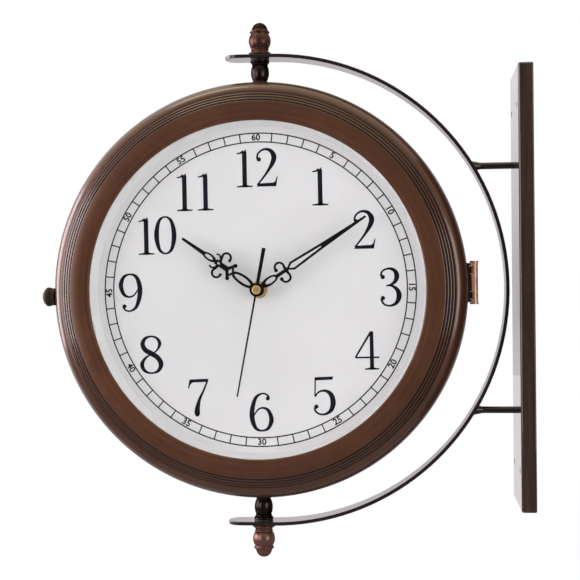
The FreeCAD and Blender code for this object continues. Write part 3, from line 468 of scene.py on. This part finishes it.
def dark_bracket():
    """Glossy brown-black paint, streaked along the plate and darker on the strip and rods."""
    made = finish(
        "bracket_paint", dark=(0.018, 0.008, 0.006), light=(0.052, 0.025, 0.018), scale=9.0,
        rough=(0.3, 0.45), stretch=(26, 26, 1), grain=0.03, grain_scale=40.0, Metallic=0.1,
        Specular_IOR_Level=0.2, Coat_Weight=1.0, Coat_IOR=1.6, Coat_Roughness=0.04)
    tree = made.node_tree
    off_plate = ramped(tree, along(tree, "X"), plate_face - plate_blend, plate_face, strip_shade, 0.0)
    overlay(made, off_plate, (0.006, 0.003, 0.003))
    return made


def copper_hinge():
    """Satin copper, left dark on the leaf beside the case."""
    made = finish(
        "hinge_copper", dark=(0.58, 0.29, 0.20), light=(0.88, 0.49, 0.35), scale=160.0,
        rough=(0.32, 0.5), grain=0.1, Metallic=0.8)
    tree = made.node_tree
    beside = ramped(tree, dial_rings(tree), leaf_reach, leaf_reach + leaf_blend, leaf_shade, 0.0)
    overlay(made, beside, bronze_patina_and_shade)
    # patina and painted shade in the hinge's corners
    return aged(made, (0.03, 0.014, 0.01), reach=0.003)


def turned_finial():
    """Brushed bronze, made lighter on the lower finial as painted light and dark on the upper one's dome as
    painted shade.
    """
    made = finish(
        "finial_bronze", dark=(0.094, 0.046, 0.037), light=(0.153, 0.077, 0.063), scale=90.0,
        rough=(0.25, 0.34), grain=0.06, Metallic=0.8, Specular_IOR_Level=0.2,
        Specular_Tint=(0.1, 0.06, 0.05, 1))
    tree = made.node_tree
    height = along(tree, "Z")
    # painted light: the lower finial is made lighter than the upper one
    lower = maths(tree, "MULTIPLY", maths(tree, "LESS_THAN", height, 0.0), painted_light_share)
    overlay(made, lower, (0.33, 0.175, 0.135))
    # painted shade: the upper finial's dome darkened, standing in for a dark reflection from above
    dome = ramped(tree, height, dome_foot, dome_foot + dome_blend, to_high=painted_dome_shade)
    overlay(made, dome, bronze_patina_and_shade)
    # patina and painted shade in the finial's grooves
    return aged(made, (0.008, 0.004, 0.003), reach=0.005, depth=0.95)


def turned_brass():
    """Bright brass, darker on a disc in the middle of the cap and on the nut under the hands."""
    made = finish(
        "brass", dark=(0.68, 0.47, 0.17), light=(0.88, 0.63, 0.26), scale=260.0,
        rough=(0.3, 0.46), grain=0.08, Metallic=0.6)
    tree = made.node_tree
    radius = dial_rings(tree)
    disc = ramped(tree, radius, cap_disc - cap_blend, cap_disc + cap_blend, disc_shade, 0.0)
    nut = ramped(tree, radius, cap_edge, cap_edge + cap_blend, to_high=nut_shade)
    overlay(made, maths(tree, "MAXIMUM", disc, nut), (0.26, 0.16, 0.035))
    # patina and painted shade in the brass's corners
    return aged(made, (0.10, 0.06, 0.02), reach=0.0015)


def clear_glass():
    """Flat clear glass that lets the lamps through to the dial."""
    made, tree, shader = new_material("lens_glass")
    dust = noise(tree, place(tree), scale=60.0, detail=6.0)
    set_shader(
        tree, shader, Base_Color=(0.985, 0.99, 0.99, 1), Transmission_Weight=1.0, IOR=1.45,
        Roughness=ramped(tree, dust, 0.4, 0.8, to_high=0.03))
    clear = add(tree, "ShaderNodeBsdfTransparent").outputs["BSDF"]
    lamp_ray = add(tree, "ShaderNodeLightPath").outputs["Is Shadow Ray"]
    mix_surface(tree, lamp_ray, shader.outputs["BSDF"], clear)
    return made


materials = {
    "bracket_paint": dark_bracket(),
    "case_bronze": bronze_case(),
    "finial_bronze": turned_finial(),
    "spacer_black": finish(
        "spacer_black", dark=(0.030, 0.023, 0.022), light=(0.050, 0.039, 0.037), scale=120.0,
        rough=(0.2, 0.28), grain=0.04, Metallic=0.95, Specular_IOR_Level=0.1,
        Specular_Tint=(0.06, 0.05, 0.05, 1)),
    "hinge_copper": copper_hinge(),
    "knob_bronze": finish(
        "knob_bronze", dark=(0.024, 0.016, 0.011), light=(0.042, 0.029, 0.020), scale=220.0,
        rough=(0.45, 0.62), grain=0.12, Metallic=0.3, Specular_IOR_Level=0.1),
    "steel": finish(
        "steel", dark=(0.40, 0.40, 0.42), light=(0.58, 0.58, 0.60), scale=180.0,
        rough=(0.28, 0.45), grain=0.1, Metallic=1.0),
    "nylon": finish(
        "nylon", dark=(0.018, 0.017, 0.016), light=(0.030, 0.028, 0.027), scale=300.0,
        rough=(0.4, 0.55), grain=0.1),
    "lens_glass": clear_glass(),
    "ring_white": finish(
        "ring_white", dark=(0.885, 0.875, 0.87), light=(0.925, 0.915, 0.91), scale=40.0,
        rough=(0.38, 0.5), grain=0.04),
    "dial_white": finish(
        "dial_white", dark=(0.736, 0.718, 0.730), light=(0.768, 0.750, 0.762), scale=22.0,
        rough=(0.5, 0.62), grain=0.06, Specular_IOR_Level=0.15),
    "board_grey": finish(
        "board_grey", dark=(0.16, 0.15, 0.14), light=(0.22, 0.21, 0.20), scale=60.0,
        rough=(0.5, 0.65), grain=0.2),
    "movement_black": finish(
        "movement_black", dark=(0.018, 0.018, 0.020), light=(0.030, 0.030, 0.033), scale=90.0,
        rough=(0.42, 0.6), grain=0.25),
    "gear_white": finish(
        "gear_white", dark=(0.68, 0.67, 0.61), light=(0.76, 0.75, 0.70), scale=150.0,
        rough=(0.35, 0.48), grain=0.08),
    "brass": turned_brass(),
    "print_ink": finish(
        "print_ink", dark=(0.009, 0.007, 0.013), light=(0.015, 0.012, 0.020), scale=400.0,
        rough=(0.5, 0.65), Specular_IOR_Level=0.0),
    "hand_black": finish(
        "hand_black", dark=(0.003, 0.003, 0.003), light=(0.007, 0.007, 0.007), scale=200.0,
        rough=(0.4, 0.55), grain=0.06, Specular_IOR_Level=0.05),
    "cell_sleeve": finish(
        "cell_sleeve", dark=(0.045, 0.085, 0.065), light=(0.075, 0.12, 0.095), scale=70.0,
        rough=(0.25, 0.38), stretch=(1, 8, 8), Coat_Weight=0.5),
    "circuit_green": finish(
        "circuit_green", dark=(0.022, 0.13, 0.055), light=(0.04, 0.19, 0.09), scale=240.0,
        rough=(0.35, 0.55), grain=0.15),
}


def new_object(name, mesh, spot, material):
    """Object of a finished bmesh, moved by spot and linked to the scene."""
    data = bpy.data.meshes.new(name)
    mesh.to_mesh(data)
    mesh.free()
    data.transform(spot)
    data.materials.append(material)
    made = bpy.data.objects.new(name, data)
    bpy.context.scene.collection.objects.link(made)
    return made


# Bezels
def add_bezel(side, body, turn):
    """Smooth ring turned from the section, with the bosses that hold the dial board."""
    mesh = bmesh.new()
    outline = bezel_section(bezel_edges[side])
    rows = []
    for k in range(bezel_sides):
        angle = 2 * math.pi * k / bezel_sides
        around = (math.cos(angle), math.sin(angle))
        rows.append([mesh.verts.new((r * around[0], -w, r * around[1])) for r, w in outline])
    for k, row in enumerate(rows):
        beside = rows[(k + 1) % bezel_sides]
        for j in range(len(outline)):
            following = (j + 1) % len(outline)
            mesh.faces.new((row[j], row[following], beside[following], beside[j]))
    length = lip_front - bezel_wall - boss_back
    for k in range(boss_count):
        x, z = polar((0, 0), boss_circle, 360 * (k + 0.5) / boss_count)
        spot = Matrix.Translation((x, -boss_back - length / 2, z)) @ Matrix.Rotation(math.pi / 2, 4, "X")
        bmesh.ops.create_cone(
            mesh, cap_ends=True, segments=boss_sides, radius1=boss_radius, radius2=boss_radius, depth=length,
            matrix=spot)
    bmesh.ops.recalc_face_normals(mesh, faces=mesh.faces)
    case_spot = Matrix.Translation(pivot) @ Matrix.Rotation(turn, 4, "Z") @ Matrix.Scale(MM, 4)
    piece = new_object(side + "_bezel_moulding", mesh, case_spot, materials["case_bronze"])
    piece.data.shade_smooth()
    piece.data.set_sharp_from_angle(angle=math.radians(sharp_angle))
    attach(piece, body)
    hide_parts(side + "_bezel")


add_bezel("front", "door", 0.0)
add_bezel("rear", "case", math.pi)

for part in record["subparts"]:
    node = frame["nodes"][part["node"]]
    node.data.materials.clear()
    node.data.materials.append(materials[part["material_slot"]])


# Numerals: strokes of (x, y, half width) in cap heights, balls of (x, y, radius), plates of corners
six_strokes = [[
    (0.20, 0.885, 0.020), (0.13, 0.965, 0.018), (0.0, 0.985, 0.018), (-0.16, 0.87, 0.034),
    (-0.255, 0.56, 0.048), (-0.25, 0.29, 0.048), (-0.16, 0.075, 0.034), (0.0, 0.014, 0.018),
    (0.165, 0.08, 0.032), (0.25, 0.30, 0.046), (0.18, 0.53, 0.034), (0.05, 0.61, 0.021),
    (-0.09, 0.575, 0.017), (-0.21, 0.42, 0.014),
]]
six_balls = [(0.165, 0.86, 0.055)]
numerals = {
    "0": {"loops": [[
        (0.0, 0.985, 0.017), (-0.165, 0.87, 0.033), (-0.235, 0.5, 0.050), (-0.165, 0.13, 0.033),
        (0.0, 0.015, 0.017), (0.165, 0.13, 0.033), (0.235, 0.5, 0.050), (0.165, 0.87, 0.033),
    ]]},
    "1": {
        "strokes": [
            [(0.0, 0.0, 0.046), (0.0, 0.93, 0.046)],
            [(-0.20, 0.885, 0.013), (-0.11, 0.895, 0.016), (-0.02, 0.935, 0.034)],
            [(-0.21, 0.013, 0.013), (-0.10, 0.018, 0.018), (0.0, 0.03, 0.032), (0.10, 0.018, 0.018),
             (0.21, 0.013, 0.013)],
        ],
        "plates": [[(-0.046, 0.91), (0.046, 0.92), (0.046, 1.0)]],
    },
    "2": {
        "strokes": [[
            (-0.245, 0.73, 0.022), (-0.22, 0.87, 0.019), (-0.07, 0.975, 0.022), (0.10, 0.945, 0.036),
            (0.195, 0.80, 0.052), (0.165, 0.63, 0.046), (0.03, 0.40, 0.026), (-0.13, 0.19, 0.019),
            (-0.255, 0.045, 0.016),
        ]],
        "balls": [(-0.20, 0.715, 0.058)],
        "plates": [[(-0.28, 0.0), (0.245, 0.0), (0.225, 0.10), (-0.20, 0.085)],
                   [(0.15, 0.08), (0.245, 0.0), (0.29, 0.26), (0.265, 0.26), (0.225, 0.135)]],
    },
    "3": {
        "strokes": [
            [(-0.235, 0.79, 0.022), (-0.19, 0.92, 0.019), (-0.03, 0.982, 0.022), (0.12, 0.93, 0.036),
             (0.18, 0.79, 0.050), (0.13, 0.64, 0.036), (0.0, 0.555, 0.019), (-0.10, 0.54, 0.014)],
            [(-0.10, 0.54, 0.014), (0.05, 0.53, 0.022), (0.18, 0.43, 0.040), (0.23, 0.27, 0.052),
             (0.16, 0.09, 0.036), (0.0, 0.015, 0.020), (-0.16, 0.055, 0.019), (-0.24, 0.19, 0.022)],
        ],
        "balls": [(-0.185, 0.765, 0.058), (-0.19, 0.215, 0.058)],
    },
    "4": {
        "strokes": [
            [(0.10, 0.985, 0.021), (-0.305, 0.33, 0.018)],
            [(-0.32, 0.315, 0.017), (0.31, 0.315, 0.017)],
            [(0.115, 0.0, 0.040), (0.115, 0.985, 0.036)],
            [(-0.07, 0.013, 0.013), (0.03, 0.018, 0.018), (0.115, 0.03, 0.030), (0.20, 0.018, 0.018),
             (0.30, 0.013, 0.013)],
        ],
        "plates": [[(0.06, 0.92), (0.151, 0.93), (0.145, 1.0), (0.11, 1.0)]],
    },
    "5": {
        "strokes": [
            [(-0.215, 0.97, 0.014), (-0.232, 0.49, 0.014)],
            [(-0.225, 0.48, 0.016), (-0.13, 0.595, 0.018), (0.03, 0.63, 0.026), (0.18, 0.54, 0.044),
             (0.24, 0.34, 0.054), (0.19, 0.13, 0.042), (0.05, 0.025, 0.024), (-0.10, 0.015, 0.019),
             (-0.21, 0.08, 0.020), (-0.25, 0.19, 0.022)],
        ],
        "balls": [(-0.20, 0.215, 0.056)],
        "plates": [[(-0.23, 0.90), (0.235, 0.915), (0.255, 1.0), (-0.229, 0.985)],
                   [(-0.246, 0.455), (-0.20, 0.50), (-0.218, 0.56)]],
    },
    "6": {"strokes": six_strokes, "balls": six_balls},
    "7": {
        "strokes": [[
            (0.255, 0.97, 0.018), (0.15, 0.71, 0.020), (0.03, 0.46, 0.030), (-0.035, 0.21, 0.050),
            (-0.04, 0.06, 0.058),
        ]],
        "balls": [(-0.04, 0.06, 0.058)],
        "plates": [[(-0.24, 0.90), (0.235, 0.915), (0.275, 1.0), (-0.235, 0.985)],
                   [(-0.235, 0.985), (-0.275, 0.75), (-0.25, 0.74), (-0.21, 0.85), (-0.15, 0.905)]],
    },
    "8": {"loops": [[
        (0.0, 0.985, 0.018), (-0.16, 0.935, 0.032), (-0.235, 0.79, 0.045), (-0.17, 0.635, 0.050),
        (0.0, 0.53, 0.050), (0.165, 0.42, 0.050), (0.25, 0.25, 0.050), (0.175, 0.075, 0.032),
        (0.0, 0.015, 0.018), (-0.18, 0.07, 0.030), (-0.26, 0.24, 0.042), (-0.17, 0.41, 0.024),
        (0.0, 0.52, 0.016), (0.145, 0.615, 0.018), (0.225, 0.79, 0.036), (0.15, 0.935, 0.026),
    ]]},
    "9": {
        "strokes": [[(-x, 1 - y, half) for x, y, half in stroke] for stroke in six_strokes],
        "balls": [(-x, 1 - y, radius) for x, y, radius in six_balls],
    },
}


# Dial print
def smooth_line(points, closed):
    """Points on a smooth line through the given ones."""
    count = len(points)
    if count == 2:
        return [Vector(point) for point in points]
    line = []
    for k in range(count if closed else count - 1):
        if closed:
            a, b, c, d = (Vector(points[(k + step) % count]) for step in (-1, 0, 1, 2))
        else:
            a, b, c, d = (Vector(points[min(max(k + step, 0), count - 1)]) for step in (-1, 0, 1, 2))
        for step in range(curve_steps):
            t = step / curve_steps
            slope = (c - a) * t / 2
            bend = (2 * a - 5 * b + 4 * c - d) * t * t / 2
            twist = (3 * b - a - 3 * c + d) * t ** 3 / 2
            line.append(b + slope + bend + twist)
    if not closed:
        line.append(Vector(points[-1]))
    return line


def put_face(mesh, corners, spot):
    """Face from corners in the dial's plane, moved by spot."""
    mesh.faces.new([mesh.verts.new(spot @ Vector((x, 0, y))) for x, y in corners])


def put_stroke(mesh, points, spot, closed=False, weight=1.0):
    """Ribbon along a smooth line, with the half width that each point gives."""
    line = smooth_line(points, closed)
    count = len(line)
    edges = []
    for k, point in enumerate(line):
        before = line[k - 1] if closed or k else point
        after = line[(k + 1) % count] if closed or k < count - 1 else point
        run = Vector((after.x - before.x, after.y - before.y)).normalized()
        side = Vector((run.y, -run.x)) * point.z * weight
        middle = Vector((point.x, point.y))
        edges.append([mesh.verts.new(spot @ Vector((p.x, 0, p.y))) for p in (middle + side, middle - side)])
    for k in range(count if closed else count - 1):
        a, b = edges[k], edges[(k + 1) % count]
        mesh.faces.new((a[0], b[0], b[1], a[1]))


def round_points(x, y, radius, sides):
    turns = [2 * math.pi * k / sides for k in range(sides)]
    return [(x + radius * math.cos(turn), y + radius * math.sin(turn)) for turn in turns]


def put_ring(mesh, radius, width, spot):
    circle = [(x, y, width / 2) for x, y in round_points(0, 0, radius, track_sides)]
    put_stroke(mesh, circle, spot, closed=True)


def put_numeral(mesh, digit, spot):
    shape = numerals[digit]
    for stroke in shape.get("strokes", []):
        put_stroke(mesh, stroke, spot, weight=numeral_weight)
    for loop in shape.get("loops", []):
        put_stroke(mesh, loop, spot, closed=True, weight=numeral_weight)
    for ball in shape.get("balls", []):
        put_face(mesh, round_points(*ball, ball_sides), spot)
    for corners in shape.get("plates", []):
        put_face(mesh, corners, spot)


def numeral_spot(hour):
    """Middle of an hour's numeral on the dial."""
    radius, turn = numeral_places[hour]
    angle = math.radians(360 * hour / 12 + turn)
    return Vector((radius * math.sin(angle), 0, radius * math.cos(angle))) * MM


def put_hours(mesh):
    for hour in range(1, 13):
        text = str(hour)
        gap = pair_gaps.get(text, 0)
        middle = Matrix.Translation(numeral_spot(hour)) @ Matrix.Scale(cap_height * MM, 4)
        for k, digit in enumerate(text):
            shift = Vector((gap * (k - (len(text) - 1) / 2), 0, -0.5))
            put_numeral(mesh, digit, middle @ Matrix.Translation(shift))


def put_minutes(mesh):
    """Track of two thin circles, a tick for each minute and a small number at every fifth."""
    scale = Matrix.Scale(MM, 4)
    tick = [(0, radius, tick_line / 2) for radius in (track_inner, track_outer)]
    for radius in (track_inner, track_outer):
        put_ring(mesh, radius, track_line, scale)
    for minute in range(60):
        turn = Matrix.Rotation(math.radians(360 * minute / 60), 4, "Y")
        if minute % 5:
            put_stroke(mesh, tick, scale @ turn)
        else:
            put_minute_number(mesh, minute or 60, scale @ turn)


def put_minute_number(mesh, minute, spot):
    """Small number in the track: its top points outwards, but inwards on the lower half."""
    words = bpy.data.curves.new("minute_number", "FONT")
    words.body = str(minute)
    words.size = minute_size
    words.align_x = "CENTER"
    words.align_y = "CENTER"
    words.offset = minute_weight
    words.resolution_u = minute_steps
    holder = bpy.data.objects.new("minute_number", words)
    drawn = bpy.data.meshes.new_from_object(holder)
    lower = 15 < minute < 45
    turn = Matrix.Rotation(math.pi, 4, "Y") if lower else Matrix.Identity(4)
    upright = Matrix.Rotation(math.pi / 2, 4, "X")
    middle = Matrix.Translation((0, 0, (track_inner + track_outer) / 2))
    drawn.transform(spot @ middle @ turn @ upright)
    mesh.from_mesh(drawn)
    bpy.data.objects.remove(holder)
    bpy.data.curves.remove(words)
    bpy.data.meshes.remove(drawn)


def add_print(name, body, spot):
    """The whole print of one dial, as thin ink on its face."""
    mesh = bmesh.new()
    put_hours(mesh)
    put_minutes(mesh)
    turn = Matrix.Rotation(math.radians(print_turn), 4, "Y")
    piece = new_object(name, mesh, spot @ turn, materials["print_ink"])
    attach(piece, body)


front_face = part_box("front_dial")[0].y - print_lift * MM
rear_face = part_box("rear_dial")[1].y + print_lift * MM
half_turn = Matrix.Rotation(math.pi, 4, "Z")
add_print("front_dial_print", "door", Matrix.Translation((pivot.x, front_face, 0)))
add_print("rear_dial_print", "case", Matrix.Translation((pivot.x, rear_face, 0)) @ half_turn)


# Studio
def mirror_path(tree, path):
    """1 for rays that left a glossy surface, also those that came out through the lens after it."""
    return maths(tree, "GREATER_THAN", path.outputs["Glossy Depth"], path.outputs["Diffuse Depth"])


def clear_path(tree, path):
    """1 for the camera's rays, also those that go through the lens."""
    return maths(tree, "MAXIMUM", path.outputs["Is Camera Ray"], path.outputs["Is Transmission Ray"])


def add_world():
    """White to the camera; reflections see each side of the room; softer as a light."""
    world = bpy.data.worlds.new("studio")
    world.use_nodes = True
    tree = world.node_tree
    path = add(tree, "ShaderNodeLightPath")
    way = add(tree, "ShaderNodeTexCoord").outputs["Generated"]
    mirrored = (0.0, 0.0, 0.0)
    for side, colour in surroundings.items():
        towards = vector_maths(tree, "DOT_PRODUCT", way, side).outputs["Value"]
        share = maths(tree, "POWER", maths(tree, "MAXIMUM", towards, 0.0), 2.0)
        seen = vector_maths(tree, "MULTIPLY", share, colour).outputs["Vector"]
        mirrored = vector_maths(tree, "ADD", mirrored, seen).outputs["Vector"]
    slope = maths(tree, "ABSOLUTE", vector_maths(tree, "DOT_PRODUCT", way, (0, 0, 1)).outputs["Value"])
    band = ramped(tree, slope, horizon_low, horizon_high, horizon_level, 1.0)
    mirrored = vector_maths(tree, "MULTIPLY", mirrored, band).outputs["Vector"]
    level = blended(tree, clear_path(tree, path), (world_level,) * 3, (1, 1, 1))
    colour = blended(tree, mirror_path(tree, path), level, mirrored)
    set_shader(tree, tree.nodes["Background"], Color=colour)
    bpy.context.scene.world = world


def pale_floor():
    """White to the camera apart from the shadow under the object; reflections see it darker in front."""
    made, tree, shader = new_material("floor_pale")
    set_shader(tree, shader, Base_Color=floor_colour, Roughness=floor_rough)
    path = add(tree, "ShaderNodeLightPath")
    seen = maths(tree, "MAXIMUM", clear_path(tree, path), path.outputs["Is Glossy Ray"])
    distance = vector_maths(tree, "LENGTH", here(tree)).outputs["Value"]
    plain = ramped(tree, distance, shadow_near, shadow_far, near_white, 1.0)
    mirrored = ramped(tree, along(tree, "Y"), 0.0, mirror_far, mirror_dark, mirror_bright)
    reflected = mirror_path(tree, path)
    strength = ramped(tree, reflected, 0.0, 1.0, 1.0, mirrored)
    tint = blended(tree, reflected, (1, 1, 1), surroundings[(0, 1, 0)])
    white = add(tree, "ShaderNodeEmission", Color=tint, Strength=strength).outputs["Emission"]
    mix_surface(tree, maths(tree, "MULTIPLY", seen, plain), shader.outputs["BSDF"], white)
    return made


def add_floor():
    mesh = bmesh.new()
    bmesh.ops.create_circle(mesh, cap_ends=True, segments=floor_sides, radius=floor_radius)
    floor = new_object("floor", mesh, Matrix.Identity(4), pale_floor())
    floor.location = (pivot.x, 0, cad_box[0].z - floor_drop)


def add_lamps():
    """Large soft lamps that point at the case."""
    for name, lamp in lamps.items():
        data = bpy.data.lights.new(name, "AREA")
        data.size = lamp["size"]
        data.energy = lamp["watts"]
        data.color = lamp["colour"]
        holder = bpy.data.objects.new(name, data)
        spot = Vector(lamp["place"])
        holder.location = spot
        holder.visible_glossy = name not in unmirrored_lamps
        holder.rotation_euler = (pivot - spot).to_track_quat("-Z", "Y").to_euler()
        bpy.context.scene.collection.objects.link(holder)


def add_camera():
    data = bpy.data.cameras.new("camera")
    data.sensor_width = sensor_mm
    data.lens = focal_pixels / frame_pixels * sensor_mm
    camera = bpy.data.objects.new("camera", data)
    aim = Matrix.Rotation(math.radians(camera_yaw), 4, "Z") @ Matrix.Rotation(math.pi / 2, 4, "X")
    roll = Matrix.Rotation(math.radians(-camera_roll), 4, "Z")
    camera.matrix_world = Matrix.Translation(camera_place) @ aim @ roll
    bpy.context.scene.collection.objects.link(camera)
    bpy.context.scene.camera = camera


add_world()
add_floor()
add_lamps()
add_camera()
bpy.context.scene.view_settings.view_transform = "Standard"
